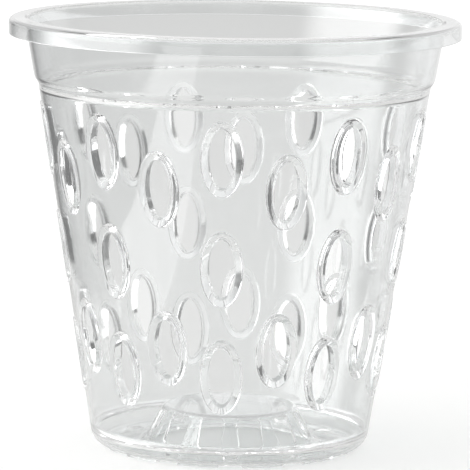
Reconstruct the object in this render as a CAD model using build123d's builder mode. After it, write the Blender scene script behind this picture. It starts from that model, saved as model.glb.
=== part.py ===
# Clear slotted orchid pot: one thin plastic moulding, divided here where its form changes.
# Z is up through the middle of the pot, which stands on z = 0. Its front is towards -Y.
from math import atan, cos, radians, sin, sqrt
import os

from build123d import *

# Whole pot
rim_diameter = 120.0
base_diameter = 74.4
pot_height = 114.5
wall_thickness = 0.9

# Rim: a flat flange whose edge turns down
rim_overhang = 4.2
lip_height = 4.3
lip_rounding = 1.3

# Collar: the plain band under the rim, which ends in a small step inwards
collar_height = 16.7
collar_taper = 3.0
step_width = 0.8
step_rounding = 0.7

# Slotted wall: columns of three slots stand between columns of two
slot_columns = 9
slot_width = 6.9
slot_length = 16.0
bead_width = 2.1
bead_outside = 0.4
bead_inside = 1.4
long_column_shares = (0.847, 0.533, 0.221)
short_column_shares = (0.755, 0.297)

# Floor: a flat ring with a rounded heel and drain holes
floor_clearance = 0.5
floor_width = 14.2
heel_height = 4.1
heel_rounding = 3.0
drain_count = 12
drain_turn = 4.0
drain_inset = 7.7
drain_length = 5.0
drain_width = 3.6

# Feet: short arcs that stand between the drain holes
foot_arc = 19.0
foot_inset = 3.8
foot_width = 2.0

# Raised centre: a low hollow cone with windows in its side
cone_rise = 9.6
cone_taper = 5.3
cone_rounding = 1.3
window_count = 12
window_turn = 19.0
window_width = 6.4
window_height = 6.8
window_sill = 1.8
window_rounding = 1.0

# Cutting tools run this far past the faces that they cut
overrun = 4.0

# Places worked out from the sizes above
rim_radius = rim_diameter / 2
flange_underside = pot_height - wall_thickness
collar_top_radius = rim_radius - rim_overhang
collar_foot_radius = collar_top_radius - collar_taper
step_height = flange_underside - collar_height
step_top = step_height + wall_thickness
wall_top_radius = collar_foot_radius - step_width
wall_foot_radius = base_diameter / 2
wall_foot_height = floor_clearance + heel_height
floor_top = floor_clearance + wall_thickness
cone_base_radius = wall_foot_radius - floor_width
cone_top_radius = cone_base_radius - cone_taper
cone_top_height = floor_top + cone_rise

collar_slope = collar_taper / collar_height
wall_slope = (wall_top_radius - wall_foot_radius) / (step_height - wall_foot_height)
cone_slope = cone_taper / cone_rise


def skin(slope):
    """Thickness of a sloping wall, measured level."""
    return wall_thickness * sqrt(1 + slope**2)


def collar_radius(height):
    return collar_foot_radius + collar_slope * (height - step_height)


def wall_radius(height):
    return wall_foot_radius + wall_slope * (height - wall_foot_height)


def cone_radius(height):
    return cone_base_radius - cone_slope * (height - floor_top)


def section_plane(angle):
    """Upright plane through the pot's axis, with x outwards; angle 0 is the front of the pot."""
    turn = radians(angle)
    return Plane(
        origin=(0, 0, 0), x_dir=(sin(turn), -cos(turn), 0), z_dir=(-cos(turn), -sin(turn), 0)
    )


def radial_plane(angle, radius, height, slope=0.0):
    """Plane square to a wall that flares upwards by slope; angle 0 is the front of the pot."""
    turn = radians(angle)
    lean = atan(slope)
    return Plane(
        origin=(radius * sin(turn), -radius * cos(turn), height),
        x_dir=(cos(turn), sin(turn), 0),
        z_dir=(sin(turn) * cos(lean), -cos(turn) * cos(lean), -sin(lean)),
    )


def corner(section, across, up):
    """The corner of a section that lies at a place."""
    return section.vertices().sort_by_distance((across, up))[0]


# Rim
rim_inner_radius = collar_top_radius - skin(collar_slope)
with BuildPart() as rim:
    with BuildSketch(Plane.XZ) as rim_section:
        with BuildLine():
            Polyline(
                (rim_inner_radius, pot_height),
                (rim_radius, pot_height),
                (rim_radius, pot_height - lip_height),
                (rim_radius - wall_thickness, pot_height - lip_height),
                (rim_radius - wall_thickness, flange_underside),
                (rim_inner_radius, flange_underside),
                close=True,
            )
        make_face()
        fillet(corner(rim_section, rim_radius, pot_height), lip_rounding)
        inner_corner = corner(rim_section, rim_radius - wall_thickness, flange_underside)
        fillet(inner_corner, lip_rounding - wall_thickness)
    revolve(axis=Axis.Z)

# Collar
wall_top_inner_radius = wall_top_radius - skin(wall_slope)
with BuildPart() as collar:
    with BuildSketch(Plane.XZ) as collar_section:
        with BuildLine():
            Polyline(
                (rim_inner_radius, flange_underside),
                (collar_top_radius, flange_underside),
                (collar_foot_radius, step_height),
                (wall_top_inner_radius, step_height),
                (wall_top_inner_radius, step_top),
                (collar_radius(step_top) - skin(collar_slope), step_top),
                close=True,
            )
        make_face()
        fillet(corner(collar_section, collar_foot_radius, step_height), step_rounding)
    revolve(axis=Axis.Z)

# Slotted wall: it repeats from column to column, so it is made as one panel and its turned
# copies. A panel holds a long and a short column, and its sides lie midway between columns.
column_pitch = 360 / slot_columns
panel_start = -column_pitch / 4


def height_at(share):
    """Height at a share of the way up the slotted wall."""
    return wall_foot_height + share * (step_height - wall_foot_height)


def panel_shell(outside=0.0, inside=0.0):
    """One panel of the flaring wall without slots, thicker by outside and inside."""
    with BuildPart() as shell:
        with BuildSketch(section_plane(panel_start)):
            with BuildLine():
                Polyline(
                    (wall_foot_radius + outside, wall_foot_height),
                    (wall_top_radius + outside, step_height),
                    (wall_top_radius - skin(wall_slope) - inside, step_height),
                    (wall_foot_radius - skin(wall_slope) - inside, wall_foot_height),
                    close=True,
                )
            make_face()
        revolve(axis=Axis.Z, revolution_arc=column_pitch)
    return shell.part


slot_places = [(0, height_at(share)) for share in long_column_shares]
slot_places += [(column_pitch / 2, height_at(share)) for share in short_column_shares]

with BuildPart() as openings:
    for angle, height in slot_places:
        with BuildSketch(radial_plane(angle, wall_radius(height), height, wall_slope)):
            Ellipse(slot_width / 2, slot_length / 2)
        extrude(amount=overrun, both=True)

with BuildPart() as beads:
    for angle, height in slot_places:
        with BuildSketch(radial_plane(angle, wall_radius(height), height, wall_slope)):
            Ellipse(slot_width / 2 + bead_width, slot_length / 2 + bead_width)
        extrude(amount=overrun, both=True)
    add(panel_shell(bead_outside, bead_inside), mode=Mode.INTERSECT)

with BuildPart() as wall_panel:
    add(panel_shell())
    add(beads.part)
    add(openings.part, mode=Mode.SUBTRACT)

slotted_wall = Compound(
    label="slotted_wall",
    children=[
        wall_panel.part.rotate(Axis.Z, column * column_pitch) for column in range(slot_columns)
    ],
)

# Floor
with BuildPart() as floor:
    with BuildSketch(Plane.XZ) as floor_section:
        with BuildLine():
            Polyline(
                (cone_base_radius, floor_clearance),
                (wall_radius(floor_clearance), floor_clearance),
                (wall_foot_radius, wall_foot_height),
                (wall_foot_radius - skin(wall_slope), wall_foot_height),
                (wall_radius(floor_top) - skin(wall_slope), floor_top),
                (cone_base_radius, floor_top),
                close=True,
            )
        make_face()
        outer_corner = corner(floor_section, wall_radius(floor_clearance), floor_clearance)
        fillet(outer_corner, heel_rounding)
        inner_corner = corner(floor_section, wall_radius(floor_top) - skin(wall_slope), floor_top)
        fillet(inner_corner, heel_rounding - wall_thickness)
    revolve(axis=Axis.Z)
    with BuildSketch(Plane.XY.offset(floor_clearance)):
        with PolarLocations(
            wall_foot_radius - drain_inset, drain_count, start_angle=drain_turn - 90
        ):
            SlotOverall(drain_length, drain_width)
    extrude(amount=wall_thickness, mode=Mode.SUBTRACT)

# Feet
drain_pitch = 360 / drain_count
foot_start = drain_turn - 90 + (drain_pitch - foot_arc) / 2
foot_outer_radius = wall_foot_radius - foot_inset
with BuildPart() as foot:
    with BuildSketch(Plane.XY):
        with BuildLine():
            outer_edge = CenterArc((0, 0), foot_outer_radius, foot_start, foot_arc)
            inner_edge = CenterArc((0, 0), foot_outer_radius - foot_width, foot_start, foot_arc)
            Line(outer_edge @ 0, inner_edge @ 0)
            Line(outer_edge @ 1, inner_edge @ 1)
        make_face()
    extrude(amount=floor_clearance)

with BuildPart() as feet:
    with PolarLocations(0, drain_count):
        add(foot.part)

# Raised centre
with BuildPart() as raised_centre:
    with BuildSketch(Plane.XZ) as cone_section:
        with BuildLine():
            Polyline(
                (0, cone_top_height),
                (cone_top_radius, cone_top_height),
                (cone_base_radius, floor_top),
                (cone_base_radius, floor_clearance),
                (cone_base_radius - skin(cone_slope), floor_clearance),
                (cone_base_radius - skin(cone_slope), floor_top),
                (
                    cone_radius(cone_top_height - wall_thickness) - skin(cone_slope),
                    cone_top_height - wall_thickness,
                ),
                (0, cone_top_height - wall_thickness),
                close=True,
            )
        make_face()
        fillet(corner(cone_section, cone_top_radius, cone_top_height), cone_rounding)
    revolve(axis=Axis.Z)
    window_middle = floor_top + window_sill + window_height / 2
    for place in range(window_count):
        angle = window_turn + place * 360 / window_count
        with BuildSketch(radial_plane(angle, cone_radius(window_middle), window_middle)):
            RectangleRounded(window_width, window_height, window_rounding)
        extrude(amount=overrun, both=True, mode=Mode.SUBTRACT)

# Labels and files
os.makedirs("parts", exist_ok=True)
rim.part.label = "rim"
export_step(rim.part, "parts/rim.step")
collar.part.label = "collar"
export_step(collar.part, "parts/collar.step")
export_step(slotted_wall, "parts/slotted_wall.step")
floor.part.label = "floor"
export_step(floor.part, "parts/floor.step")
feet.part.label = "feet"
export_step(feet.part, "parts/feet.step")
raised_centre.part.label = "raised_centre"
export_step(raised_centre.part, "parts/raised_centre.step")
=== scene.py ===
from math import ceil, cos, pi, radians, sin, sqrt, tan

import bmesh
import bpy
from mathutils import Matrix, Vector
from mathutils.geometry import delaunay_2d_cdt


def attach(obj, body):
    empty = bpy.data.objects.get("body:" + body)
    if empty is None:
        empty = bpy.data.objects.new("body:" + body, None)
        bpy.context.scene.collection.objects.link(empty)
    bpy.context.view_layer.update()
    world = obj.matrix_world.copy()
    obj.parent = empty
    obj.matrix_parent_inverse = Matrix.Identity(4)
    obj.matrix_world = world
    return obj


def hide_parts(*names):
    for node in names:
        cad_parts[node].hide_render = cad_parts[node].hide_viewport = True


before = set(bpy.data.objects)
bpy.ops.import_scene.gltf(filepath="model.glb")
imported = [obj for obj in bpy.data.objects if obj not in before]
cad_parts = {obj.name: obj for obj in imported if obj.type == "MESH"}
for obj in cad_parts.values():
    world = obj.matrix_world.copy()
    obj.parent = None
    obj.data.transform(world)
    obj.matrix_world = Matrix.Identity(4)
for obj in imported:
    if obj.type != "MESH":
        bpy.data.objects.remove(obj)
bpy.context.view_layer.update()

# Clear polypropylene, injection moulded.
# The pot is one thin moulding, so all its pieces share this plastic. It is colourless and takes
# a little light out of what is seen through it; steel mould faces leave it glossy, with a faint
# ripple where the melt flowed, and light handling leaves it a trace of haze.

MM = 0.001


def linear(hexadecimal):
    """The linear colour, with alpha 1, that an sRGB hex value stands for."""
    channels = [int(hexadecimal[place:place + 2], 16) / 255 for place in (1, 3, 5)]
    return [c / 12.92 if c <= 0.04045 else ((c + 0.055) / 1.055) ** 2.4 for c in channels] + [1]


def node(tree, kind, links=(), **settings):
    """Adds a node; links lists (socket, output or value), settings its properties or sockets."""
    added = tree.nodes.new(kind)
    for name, value in settings.items():
        if hasattr(added, name):
            setattr(added, name, value)
        else:
            added.inputs[name.replace("_", " ")].default_value = value
    for socket, source in links:
        if isinstance(source, float):
            added.inputs[socket].default_value = source
        else:
            tree.links.new(source, added.inputs[socket])
    return added


def new_material(name):
    """A material with an empty node tree and an output."""
    material = bpy.data.materials.new(name)
    material.use_nodes = True
    tree = material.node_tree
    tree.nodes.clear()
    return material, tree, tree.nodes.new("ShaderNodeOutputMaterial")


def clear_polypropylene():
    """Clear glossy plastic with an 18 mm ripple 0.4 mm deep and patches of haze 9 mm across."""
    material, tree, output = new_material("clear polypropylene, moulded")
    ripple_length = 18 * MM
    ripple_depth = 0.4 * MM
    haze_length = 9 * MM
    most_reflections = 2.5
    place = node(tree, "ShaderNodeTexCoord").outputs["Object"]
    ripple = node(
        tree, "ShaderNodeTexNoise", [("Vector", place)], Scale=1 / ripple_length, Detail=1.0
    )
    haze = node(tree, "ShaderNodeTexNoise", [("Vector", place)], Scale=1 / haze_length, Detail=3.0)
    roughness = node(
        tree, "ShaderNodeMapRange", [("Value", haze.outputs["Fac"])],
        From_Min=0.3, From_Max=0.75, To_Min=0.02, To_Max=0.07,
    )
    bump = node(
        tree, "ShaderNodeBump", [("Height", ripple.outputs["Fac"])],
        Strength=0.12, Distance=ripple_depth,
    )
    plastic = node(
        tree, "ShaderNodeBsdfPrincipled",
        [("Roughness", roughness.outputs["Result"]), ("Normal", bump.outputs["Normal"])],
        IOR=1.49, Transmission_Weight=1.0, Base_Color=linear("#FDFEFE"),
    )
    # A shadow ray meets a lightly tinted pane, so the pot casts a pale shadow
    path = node(tree, "ShaderNodeLightPath")
    shade = node(tree, "ShaderNodeBsdfTransparent", Color=linear("#F1F2F2"))
    shaded = node(
        tree, "ShaderNodeMixShader",
        [(0, path.outputs["Is Shadow Ray"]), (1, plastic.outputs[0]), (2, shade.outputs[0])],
    )
    # The pieces are one moulding, so light crosses the faces where they meet as if none was there,
    # and light that the thin wall still holds after three reflections is let out
    joined = node(tree, "ShaderNodeAttribute", attribute_name="joined")
    trapped = node(
        tree, "ShaderNodeMath", [(0, path.outputs["Glossy Depth"]), (1, most_reflections)],
        operation="GREATER_THAN",
    )
    passes = node(
        tree, "ShaderNodeMath", [(0, joined.outputs["Fac"]), (1, trapped.outputs[0])],
        operation="MAXIMUM",
    )
    nothing = node(tree, "ShaderNodeBsdfTransparent")
    mixed = node(
        tree, "ShaderNodeMixShader",
        [(0, passes.outputs[0]), (1, shaded.outputs[0]), (2, nothing.outputs[0])],
    )
    tree.links.new(mixed.outputs[0], output.inputs["Surface"])
    return material


plastic = clear_polypropylene()

# Rim.
# A flat flange round the mouth whose edge turns down, which stiffens the thin wall and gives
# the fingers a hold. It is hollow beneath, and its upper edge is well rounded.

rim_radius = 60.0 * MM
pot_height = 114.5 * MM
wall_thickness = 0.9 * MM
lip_height = 4.3 * MM
lip_rounding = 1.3 * MM
edge_rounding = 0.2 * MM
arc_step = radians(9)
crease = radians(32)
weld_distance = 0.002 * MM
# Pieces that meet are drawn this far apart, so no two faces lie in one plane
joint = 0.01 * MM
collar_top_radius = 55.8 * MM
collar_foot_radius = 52.8 * MM
step_height = 96.9 * MM
flange_underside = pot_height - wall_thickness
collar_slope = (collar_top_radius - collar_foot_radius) / (flange_underside - step_height)
wall_foot_height = 4.6 * MM


def skin(slope):
    """Thickness of a sloping wall, measured level."""
    return wall_thickness * sqrt(1 + slope**2)


def rounded(corners):
    """An outline through (across, up, rounding) corners, each rounded by an arc of that radius."""
    points = []
    for place, (across, up, radius) in enumerate(corners):
        here = Vector((across, up))
        if radius == 0:
            points.append(here)
            continue
        before = (Vector(corners[place - 1][:2]) - here).normalized()
        after = (Vector(corners[(place + 1) % len(corners)][:2]) - here).normalized()
        half = before.angle(after) / 2
        middle = here + (before + after).normalized() * radius / sin(half)
        arm = here + before * radius / tan(half) - middle
        turn = (pi - 2 * half) * (1 if before.cross(after) < 0 else -1)
        steps = max(3, ceil(abs(turn) / arc_step))
        for step in range(steps + 1):
            points.append(middle + Matrix.Rotation(turn * step / steps, 2) @ arm)
    return points


def finished(name, mesh_data, *replaced):
    """Turns a bmesh into a smooth piece in the clear plastic that stands for CAD nodes.

    The level faces where it meets the next piece are marked as joined for the plastic.
    """
    bmesh.ops.remove_doubles(mesh_data, verts=mesh_data.verts, dist=weld_distance)
    bmesh.ops.recalc_face_normals(mesh_data, faces=mesh_data.faces)
    for face in mesh_data.faces:
        face.smooth = True
    for edge in mesh_data.edges:
        edge.smooth = edge.is_manifold and edge.calc_face_angle() < crease
    joined = mesh_data.faces.layers.float.new("joined")
    for face in mesh_data.faces:
        places = [vertex.co for vertex in face.verts]
        in_wall = all(place.xy.length < collar_top_radius + joint for place in places)
        for height in (flange_underside, step_height, wall_foot_height):
            if in_wall and all(abs(place.z - height) < 2 * joint for place in places):
                face[joined] = 1.0
    mesh = bpy.data.meshes.new(name)
    mesh_data.to_mesh(mesh)
    mesh_data.free()
    # Pierced pieces carry the normals of their whole form, so the holes don't dent reflections
    if "true normal" in mesh.attributes:
        true_normal = mesh.attributes["true normal"]
        mesh.normals_split_custom_set_from_vertices([item.vector for item in true_normal.data])
        mesh.attributes.remove(mesh.attributes["true normal"])
    mesh.materials.append(plastic)
    piece = bpy.data.objects.new(name, mesh)
    bpy.context.collection.objects.link(piece)
    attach(piece, "root")
    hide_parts(*replaced)
    return piece


def swung(point, angle):
    """The place of a section's (across, up) point when the section is swung about Z."""
    return Vector((point.x * cos(angle), point.x * sin(angle), point.y))


def lathe(turned, outline, start=0.0, sweep=2 * pi, steps=360):
    """Turns a closed outline of (across, up) points about Z; a part turn gets flat ends."""
    whole = sweep == 2 * pi
    rings = []
    for step in range(steps if whole else steps + 1):
        angle = start + sweep * step / steps
        rings.append([turned.verts.new(swung(point, angle)) for point in outline])
    for step in range(steps):
        one, other = rings[step], rings[(step + 1) % len(rings)]
        for place in range(len(outline)):
            turned.faces.new((one[place - 1], one[place], other[place], other[place - 1]))
    if not whole:
        turned.faces.new(rings[0])
        turned.faces.new(rings[-1])
    return turned


rim_inner_radius = collar_top_radius - skin(collar_slope)
rim_outline = rounded([
    (rim_inner_radius, pot_height, edge_rounding),
    (rim_radius, pot_height, lip_rounding),
    (rim_radius, pot_height - lip_height, edge_rounding),
    (rim_radius - wall_thickness, pot_height - lip_height, edge_rounding),
    (rim_radius - wall_thickness, flange_underside, lip_rounding - wall_thickness),
    (collar_top_radius, flange_underside, 0),
    (rim_inner_radius, flange_underside, 0),
])
finished("rim", lathe(bmesh.new(), rim_outline), "rim")

# Collar.
# The plain band below the rim. It flares a little more than the wall, and at its foot it steps
# in to meet it, so that stacked pots rest on the step and don't jam.

wall_top_radius = 52.0 * MM
wall_foot_radius = 37.2 * MM
step_start = 0.5 * MM
step_rise = 1.9 * MM
step_lift = 0.36 * MM
bend_rounding = 1.9 * MM
wall_slope = (wall_top_radius - wall_foot_radius) / (step_height - wall_foot_height)


def collar_radius(above):
    """Radius of the collar's outer side at a distance above its foot."""
    return collar_foot_radius + collar_slope * above


def wall_radius(above):
    """Radius of the slotted wall's outer side, carried on above its top."""
    return wall_top_radius + wall_slope * above


collar_outline = rounded([
    (rim_inner_radius, flange_underside - joint, 0),
    (collar_top_radius, flange_underside - joint, 0),
    (collar_radius(step_rise), step_height + step_rise, bend_rounding + wall_thickness),
    (wall_radius(step_start), step_height + step_start, bend_rounding),
    (wall_top_radius, step_height, 0),
    (wall_top_radius - skin(wall_slope), step_height, 0),
    (
        wall_radius(step_start + step_lift) - skin(wall_slope),
        step_height + step_start + step_lift,
        bend_rounding + wall_thickness,
    ),
    (
        collar_radius(step_rise + step_lift) - skin(collar_slope),
        step_height + step_rise + step_lift,
        bend_rounding,
    ),
])
finished("collar", lathe(bmesh.new(), collar_outline), "collar")

# Slotted wall.
# The tapering wall that holds the bark. Columns of three oval slots stand between columns of
# two, for air and roots, and each slot has a raised bead round it that runs through the wall.

slot_columns = 9
slot_width = 6.9 * MM
slot_length = 16.0 * MM
bead_width = 2.1 * MM
bead_outside = 0.4 * MM
bead_inside = 1.4 * MM
long_column_heights = [height * MM for height in (82.8, 53.8, 25.0)]
short_column_heights = [height * MM for height in (74.3, 32.0)]
slot_steps = 72
wall_mesh = 1.8 * MM
front = -pi / 2


def section(points):
    """Length of an open outline, and a function that gives its point and outward normal."""
    stops = [0.0]
    for here, after in zip(points, points[1:]):
        stops.append(stops[-1] + (after - here).length)
    normals = []
    for place in range(len(points)):
        # The two sides of a point count by their length, so flat parts stay flat up to a curve
        side = points[min(place + 1, len(points) - 1)] - points[max(place - 1, 0)]
        normals.append(Vector((side.y, -side.x)).normalized())

    def station(along):
        place = 0
        while place < len(points) - 2 and stops[place + 1] < along:
            place += 1
        share = (along - stops[place]) / (stops[place + 1] - stops[place])
        normal = normals[place].lerp(normals[place + 1], share).normalized()
        return points[place].lerp(points[place + 1], share), normal

    return stops[-1], station


def pierced(outline, start, sector, copies, holes, spacing, closed_ends=(True, True)):
    """A shell turned about Z and pierced by holes, made as one sector and its turned copies.

    outline is the outer side of its section. Each hole is (angle, along, ring, path): ring(grow)
    gives its (across, along) outline grown by a distance, and path lists the (grow, depth) steps
    of its edge, from the outer face to the inner one.
    """
    length, station = section(outline)
    shell = bmesh.new()
    true_normal = shell.verts.layers.float_vector.new("true normal")

    def vertex(angle, along, depth, on_face=True):
        point, normal = station(along)
        at_end = along in (0.0, length)
        inwards = Vector((1 / normal.x, 0)) if at_end and normal.x > 0.5 else normal
        made = shell.verts.new(swung(point - inwards * depth, angle))
        if on_face and not at_end:
            sign = 1 if depth == 0 else -1
            made[true_normal] = sign * swung(normal, angle)
        return made

    # A flat layout of the sector: angle against distance along the outline
    columns = ceil(sector * max(point.x for point in outline) / spacing)
    rows = ceil(length / spacing)
    points, edges = [], []

    def add_loop(loop):
        first = len(points)
        edges.extend((first + k, first + (k + 1) % len(loop)) for k in range(len(loop)))
        points.extend(loop)

    add_loop(
        [(start + sector * c / columns, 0.0) for c in range(columns)]
        + [(start + sector, length * r / rows) for r in range(rows)]
        + [(start + sector * (1 - c / columns), length) for c in range(columns)]
        + [(start, length * (1 - r / rows)) for r in range(rows)]
    )

    def laid_out(angle, along, ring):
        return [(angle + across / station(along + up)[0].x, along + up) for across, up in ring]

    def inside(u, v, grow):
        for angle, along, ring, path in holes:
            here = Vector(((u - angle) * station(v)[0].x, v - along))
            edge = [Vector(place) for place in ring(path[0][0] + grow)]
            if all((b - a).cross(here - a) > 0 for a, b in zip(edge, edge[1:] + edge[:1])):
                return True
        return False

    for angle, along, ring, path in holes:
        add_loop(laid_out(angle, along, ring(path[0][0])))
    stagger = 0.25
    for r in range(1, rows):
        for c in range(1, columns):
            u = start + sector * (c + stagger * (-1) ** r) / columns
            v = length * r / rows
            if not inside(u, v, spacing / 2):
                points.append((u, v))
    scale = station(length / 2)[0].x
    flat = [Vector((u * scale, v)) for u, v in points]
    within_outline, tolerance = 1, 1e-9
    triangles = delaunay_2d_cdt(flat, edges, [], within_outline, tolerance)[2]
    kept = []
    for triangle in triangles:
        u = sum(points[k][0] for k in triangle) / 3
        v = sum(points[k][1] for k in triangle) / 3
        if not inside(u, v, 0.0):
            kept.append(triangle)

    for copy in range(copies):
        turn = 2 * pi * copy / copies
        outer = [vertex(u + turn, v, 0.0) for u, v in points]
        inner = [vertex(u + turn, v, wall_thickness) for u, v in points]
        for triangle in kept:
            shell.faces.new([outer[k] for k in triangle])
            shell.faces.new([inner[k] for k in triangle])
        for angle, along, ring, path in holes:
            rings = []
            for step, (grow, depth) in enumerate(path):
                on_face = step in (0, len(path) - 1)
                places = laid_out(angle, along, ring(grow))
                rings.append([vertex(u + turn, v, depth, on_face) for u, v in places])
            for one, other in zip(rings, rings[1:]):
                for k in range(len(one)):
                    shell.faces.new((one[k - 1], one[k], other[k], other[k - 1]))
        for end, closed in zip((0.0, length), closed_ends):
            if closed:
                angles = [start + turn + sector * c / columns for c in range(columns + 1)]
                near = [vertex(angle, end, 0.0) for angle in angles]
                far = [vertex(angle, end, wall_thickness) for angle in angles]
                for c in range(columns):
                    shell.faces.new((near[c], near[c + 1], far[c + 1], far[c]))
    return shell


def slot_ring(grow):
    """A slot's oval, grown by a distance."""
    wide, tall = slot_width / 2 + grow, slot_length / 2 + grow
    angles = [2 * pi * k / slot_steps for k in range(slot_steps)]
    return [(wide * cos(angle), tall * sin(angle)) for angle in angles]


bead_foot = 0.35 * MM
bead_side = 0.3 * MM
bead_crest = 0.25 * MM
outer_foot_rounding = 0.15 * MM
inner_foot_rounding = 0.3 * MM
crest_rounding = 0.2 * MM
mouth_rounding = 0.25 * MM
bead_path = [(point.x, point.y) for point in rounded([
    (bead_width + bead_foot, 0.0, 0),
    (bead_width, 0.0, outer_foot_rounding),
    (bead_width - bead_side, -bead_outside, crest_rounding),
    (0.0, -bead_outside, mouth_rounding),
    (0.0, wall_thickness + bead_inside, mouth_rounding),
    (bead_crest, wall_thickness + bead_inside, crest_rounding),
    (bead_width, wall_thickness, inner_foot_rounding),
    (bead_width + bead_foot, wall_thickness, 0),
])]
pitch = 2 * pi / slot_columns


def up_wall(height):
    """Distance up the wall's slope at a height."""
    return (height - wall_foot_height) * sqrt(1 + wall_slope**2)


slots = [(front, up_wall(height), slot_ring, bead_path) for height in long_column_heights]
for height in short_column_heights:
    slots.append((front + pitch / 2, up_wall(height), slot_ring, bead_path))
wall_side = [
    Vector((wall_foot_radius, wall_foot_height + joint)),
    Vector((wall_top_radius, step_height - joint)),
]
wall = pierced(wall_side, front - pitch / 4, pitch, slot_columns, slots, wall_mesh)
finished("slotted_wall", wall, "slotted_wall")

# Floor.
# A flat ring that turns up into the wall over a rounded heel, with drain holes between the feet
# so that water runs out of the pot.

floor_clearance = 0.5 * MM
heel_rounding = 4.2 * MM
cone_base_radius = 23.0 * MM
drain_count = 12
drain_turn = radians(4.0)
drain_radius = 29.5 * MM
drain_length = 5.0 * MM
drain_width = 3.6 * MM
drain_end_steps = 12
floor_mesh = 1.4 * MM
floor_top = floor_clearance + wall_thickness


def drain_ring(grow):
    """A drain hole's outline, long side outwards from the middle of the pot."""
    radius = drain_width / 2 + grow
    reach = (drain_length - drain_width) / 2
    ring = []
    for end in (0, 1):
        for k in range(drain_end_steps + 1):
            angle = pi * (end + k / drain_end_steps)
            ring.append((radius * cos(angle), radius * sin(angle) + reach * (1 - 2 * end)))
    return ring


def cut_edge(rounding):
    """Steps of a hole's edge through the wall, rounded on both sides."""
    chamfer = 0.3 * rounding
    return [
        (rounding, 0.0),
        (chamfer, chamfer),
        (0.0, rounding),
        (0.0, wall_thickness - rounding),
        (chamfer, wall_thickness - chamfer),
        (rounding, wall_thickness),
    ]


heel_radius = wall_foot_radius - wall_slope * (wall_foot_height - floor_clearance)
floor_side = rounded([
    (cone_base_radius + joint, floor_clearance, 0),
    (heel_radius, floor_clearance, heel_rounding),
    (wall_foot_radius, wall_foot_height - joint, 0),
])
drain_along = drain_radius - cone_base_radius
drains = [(front + drain_turn, drain_along, drain_ring, cut_edge(edge_rounding))]
drain_pitch = 2 * pi / drain_count
floor_shell = pierced(
    floor_side, front + drain_turn - drain_pitch / 2, drain_pitch, drain_count, drains, floor_mesh
)
finished("floor", floor_shell, "floor")

# Feet.
# Short low arcs under the floor, between the drain holes, that keep it off the shelf so that
# water gets away.

foot_arc = radians(19.0)
foot_outer_radius = 33.4 * MM
foot_width = 2.0 * MM
foot_edge = 0.15 * MM
foot_steps = 24
foot_outline = rounded([
    (foot_outer_radius, 0.0, foot_edge),
    (foot_outer_radius, floor_clearance - joint, 0),
    (foot_outer_radius - foot_width, floor_clearance - joint, 0),
    (foot_outer_radius - foot_width, 0.0, foot_edge),
])
feet = bmesh.new()
for foot in range(drain_count):
    middle = front + drain_turn + (foot + 0.5) * drain_pitch
    lathe(feet, foot_outline, middle - foot_arc / 2, foot_arc, foot_steps)
finished("feet", feet, "feet")

# Raised centre.
# A low hollow cone in the middle of the floor with windows in its side. It lets air into the
# bark from below, and its flat top is a little over the floor.

cone_top_radius = 17.7 * MM
cone_top_height = 11.0 * MM
cone_rounding = 1.3 * MM
cone_foot_rounding = 0.5 * MM
cone_mesh = 1.2 * MM
plate_radius = 14.5 * MM
plate_rings = 12
window_count = 12
window_turn = radians(19.0)
window_width = 6.4 * MM
window_height = 6.8 * MM
window_sill = 1.8 * MM
window_rounding = 1.0 * MM
window_edge_rounding = 0.42 * MM
window_step = 0.9 * MM
cone_slope = (cone_base_radius - cone_top_radius) / (cone_top_height - floor_top)
cone_lean = sqrt(1 + cone_slope**2)


def window_ring(grow):
    """A window's outline on the cone's side: a rectangle with rounded corners."""
    wide = window_width / 2 + grow
    tall = window_height / 2 * cone_lean + grow
    radius = window_rounding + grow
    corners = rounded([
        (wide, -tall, radius), (wide, tall, radius), (-wide, tall, radius), (-wide, -tall, radius)
    ])
    ring = []
    for here, after in zip(corners, corners[1:] + corners[:1]):
        steps = max(1, round((after - here).length / window_step))
        ring += [here.lerp(after, k / steps) for k in range(steps)]
    return [(point.x, point.y) for point in ring]


cone_side = rounded([
    (cone_base_radius, floor_clearance, 0),
    (cone_base_radius, floor_top, cone_foot_rounding),
    (cone_top_radius, cone_top_height, cone_rounding),
    (plate_radius, cone_top_height, 0),
])
window_middle = wall_thickness + (window_sill + window_height / 2) * cone_lean
window_edge = cut_edge(window_edge_rounding)
windows = [(front + window_turn, window_middle, window_ring, window_edge)]
window_pitch = 2 * pi / window_count
raised_centre = pierced(
    cone_side, front + window_turn - window_pitch / 2, window_pitch, window_count, windows,
    cone_mesh, closed_ends=(True, False),
)

# The flat middle of its top, in rings that meet the pierced part
columns = window_count * ceil(window_pitch * cone_base_radius / cone_mesh)
for height in (cone_top_height, cone_top_height - wall_thickness):
    middle = raised_centre.verts.new((0, 0, height))
    rings = []
    for step in range(1, plate_rings + 1):
        radius = plate_radius * step / plate_rings
        ring = []
        for k in range(columns):
            angle = front + window_turn + window_pitch / 2 + 2 * pi * k / columns
            place = (radius * cos(angle), radius * sin(angle), height)
            ring.append(raised_centre.verts.new(place))
        rings.append(ring)
    for k in range(columns):
        raised_centre.faces.new((middle, rings[0][k - 1], rings[0][k]))
        for one, other in zip(rings, rings[1:]):
            raised_centre.faces.new((one[k - 1], one[k], other[k], other[k - 1]))
finished("raised_centre", raised_centre, "raised_centre")

# Table and backdrop.
# A white paper sheet, 30 cm wide, that runs back behind the pot towards a bright backdrop. The
# picture is exposed so that the paper burns out to white, apart from the pot's shadow, while the
# plastic shows the paper and the dimmer room beside it, which gives the pot its dark edges.

view_turn = radians(3.4)
sheet_length = 12.0
sheet_gap = 0.02 * MM


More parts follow.
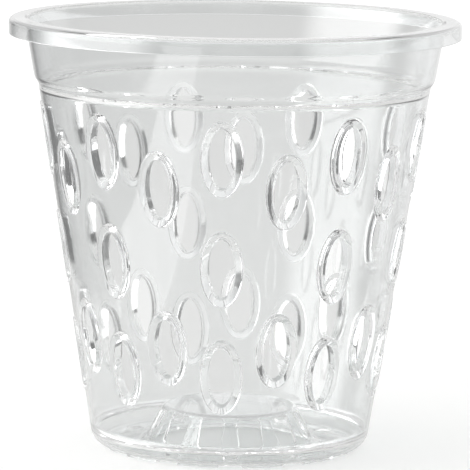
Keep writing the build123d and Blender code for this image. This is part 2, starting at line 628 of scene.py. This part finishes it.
def white_paper():
    """Matt white paper with a 4 mm grain, which the camera sees wider than the plastic does."""
    material, tree, output = new_material("white paper sheet")
    grain_length = 4 * MM
    grain_depth = 0.2 * MM
    place = node(tree, "ShaderNodeTexCoord").outputs["Object"]
    grain = node(
        tree, "ShaderNodeTexNoise", [("Vector", place)], Scale=1 / grain_length, Detail=3.0
    )
    bump = node(
        tree, "ShaderNodeBump", [("Height", grain.outputs["Fac"])],
        Strength=0.05, Distance=grain_depth,
    )
    paper = node(
        tree, "ShaderNodeBsdfDiffuse", [("Normal", bump.outputs["Normal"])], Color=linear("#E7E7E6")
    )
    # Painted light: the paper glows more with distance, so it grows paler away from the pot, and
    # the camera sees a stronger glow still, which burns it out to white
    where = node(tree, "ShaderNodeSeparateXYZ", [("Vector", place)])
    far = node(
        tree, "ShaderNodeMapRange", [("Value", where.outputs["Y"])],
        From_Min=0.0, From_Max=0.8, To_Min=0.0, To_Max=0.1,
    )
    burn = node(
        tree, "ShaderNodeMapRange", [("Value", where.outputs["Y"])],
        From_Min=0.0, From_Max=1.2, To_Min=0.225, To_Max=0.5,
    )
    path = node(tree, "ShaderNodeLightPath")
    camera_ray = path.outputs["Is Camera Ray"]
    # Painted light: the glow's strength, the far glow for every ray plus the burn for the camera
    painted_glow_strength = node(
        tree, "ShaderNodeMath",
        [(0, camera_ray), (1, burn.outputs["Result"]), (2, far.outputs["Result"])],
        operation="MULTIPLY_ADD",
    )
    glow = node(tree, "ShaderNodeEmission", [("Strength", painted_glow_strength.outputs[0])])
    both = node(tree, "ShaderNodeAddShader", [(0, paper.outputs[0]), (1, glow.outputs[0])])
    # Only its middle 30 cm shows in the plastic
    aside = node(tree, "ShaderNodeMath", [(0, where.outputs["X"])], operation="ABSOLUTE")
    beside = node(
        tree, "ShaderNodeMapRange", [("Value", aside.outputs[0])],
        From_Min=0.14, From_Max=0.16, To_Min=1.0, To_Max=0.0,
    )
    shown = node(
        tree, "ShaderNodeMath", [(0, camera_ray), (1, beside.outputs["Result"])],
        operation="MAXIMUM",
    )
    nothing = node(tree, "ShaderNodeBsdfTransparent")
    mixed = node(
        tree, "ShaderNodeMixShader",
        [(0, shown.outputs[0]), (1, nothing.outputs[0]), (2, both.outputs[0])],
    )
    tree.links.new(mixed.outputs[0], output.inputs["Surface"])
    return material


bpy.ops.mesh.primitive_plane_add(
    size=sheet_length, location=(0, 0, -sheet_gap), rotation=(0, 0, view_turn)
)
sheet = bpy.context.object
sheet.name = "paper_sheet"
sheet.data.materials.append(white_paper())

# Light.
# A large softbox on the left, whose soft shadow falls to the right, a strip light that lies on
# the paper at the front left, and a dim room that is paler overhead and brightest at the backdrop.

key_turn = radians(-77)
key_distance = 0.95
key_middle = 0.5
key_width = 1.6
key_height = 1.2
key_brightness = 3.35
key_data = bpy.data.lights.new("key softbox", "AREA")
key_data.shape = "RECTANGLE"
key_data.size = key_width
key_data.size_y = key_height
key_data.energy = key_brightness * pi * key_width * key_height
key = bpy.data.objects.new("key softbox", key_data)
bpy.context.collection.objects.link(key)
towards_key = key_turn + view_turn
key.location = (key_distance * sin(towards_key), -key_distance * cos(towards_key), key_middle)
level = Vector((0, 0, key_middle)) - key.location
key.rotation_euler = level.to_track_quat("-Z", "Y").to_euler()

# The softbox's cloth fades towards its sides
key_data.use_nodes = True
tree = key_data.node_tree
tree.nodes.clear()
cloth = node(tree, "ShaderNodeNewGeometry").outputs["Parametric"]
across = node(tree, "ShaderNodeSeparateXYZ", [("Vector", cloth)]).outputs["X"]
aside = node(tree, "ShaderNodeMath", [(0, across), (1, 0.5)], operation="SUBTRACT")
edge = node(tree, "ShaderNodeMath", [(0, aside.outputs[0])], operation="ABSOLUTE")
fade = node(
    tree, "ShaderNodeMapRange", [("Value", edge.outputs[0])], interpolation_type="SMOOTHSTEP",
    From_Min=0.5, From_Max=0.2, To_Min=0.0, To_Max=1.0,
)
glow = node(tree, "ShaderNodeEmission", [("Strength", fade.outputs["Result"])])
node(tree, "ShaderNodeOutputLight", [("Surface", glow.outputs[0])])

# The strip light lies out of the picture, and shows as a bright band down the collar and wall
strip_width = 95 * MM
strip_length = 290 * MM
strip_place = Vector((-132.5, -205, 2)) * MM
bpy.ops.mesh.primitive_plane_add(size=1.0)
strip = bpy.context.object
strip.name = "strip_light"
placed = Matrix.Rotation(view_turn, 4, "Z") @ Matrix.Translation(strip_place)
strip.matrix_world = placed @ Matrix.Diagonal((strip_width, strip_length, 1, 1))
strip_cloth, tree, output = new_material("strip light cloth")
glow = node(tree, "ShaderNodeEmission", Strength=1.9)
tree.links.new(glow.outputs[0], output.inputs["Surface"])
strip.data.materials.append(strip_cloth)
strip.visible_camera = False

# The room, with a bright wall behind the pot and a dimmer one at its right; each wall fades in
# between two cosines of the angle from its middle
world = bpy.data.worlds.new("studio")
bpy.context.scene.world = world
world.use_nodes = True
tree = world.node_tree
tree.nodes.clear()
direction = node(tree, "ShaderNodeTexCoord").outputs["Generated"]
upwards = node(tree, "ShaderNodeSeparateXYZ", [("Vector", direction)]).outputs["Z"]
room = node(
    tree, "ShaderNodeMapRange", [("Value", upwards)],
    From_Min=0.0, From_Max=1.0, To_Min=0.2, To_Max=0.9,
)
path = node(tree, "ShaderNodeLightPath")
shown = node(
    tree, "ShaderNodeMath", [(0, room.outputs["Result"]), (1, path.outputs["Is Camera Ray"])],
    operation="MAXIMUM",
)
for turn, edge, core, brightness in ((180, 0.88, 0.97, 0.92), (140, 0.8, 0.9, 0.8)):
    towards = node(tree, "ShaderNodeVectorMath", [(0, direction)], operation="DOT_PRODUCT")
    angle = radians(turn) + view_turn
    towards.inputs[1].default_value = (sin(angle), -cos(angle), 0)
    wall = node(
        tree, "ShaderNodeMapRange", [("Value", towards.outputs["Value"])],
        From_Min=edge, From_Max=core, To_Min=0.0, To_Max=brightness,
    )
    shown = node(
        tree, "ShaderNodeMath", [(0, shown.outputs[0]), (1, wall.outputs["Result"])],
        operation="MAXIMUM",
    )
surroundings = node(tree, "ShaderNodeBackground", [("Color", shown.outputs[0])], Strength=1.0)
node(tree, "ShaderNodeOutputWorld", [("Surface", surroundings.outputs[0])])

# Camera.
# It stands 1.12 m away and a little above the pot, and looks down at it by 8 degrees.

camera_distance = 1120.8 * MM
camera_height = 215.7 * MM
camera_roll = radians(0.85)
aim_aside = 0.7 * MM
aim_height = 56.6 * MM
camera_data = bpy.data.cameras.new("camera")
camera_data.sensor_width = 36.0
camera_data.lens = 325.2
camera = bpy.data.objects.new("camera", camera_data)
bpy.context.collection.objects.link(camera)
camera.location = (
    camera_distance * sin(view_turn), -camera_distance * cos(view_turn), camera_height
)
aim = Vector((aim_aside * cos(view_turn), aim_aside * sin(view_turn), aim_height))
look = (aim - camera.location).to_track_quat("-Z", "Y").to_matrix()
camera.rotation_euler = (look @ Matrix.Rotation(camera_roll, 3, "Z")).to_euler()
bpy.context.scene.camera = camera
bpy.context.scene.view_settings.view_transform = "Standard"
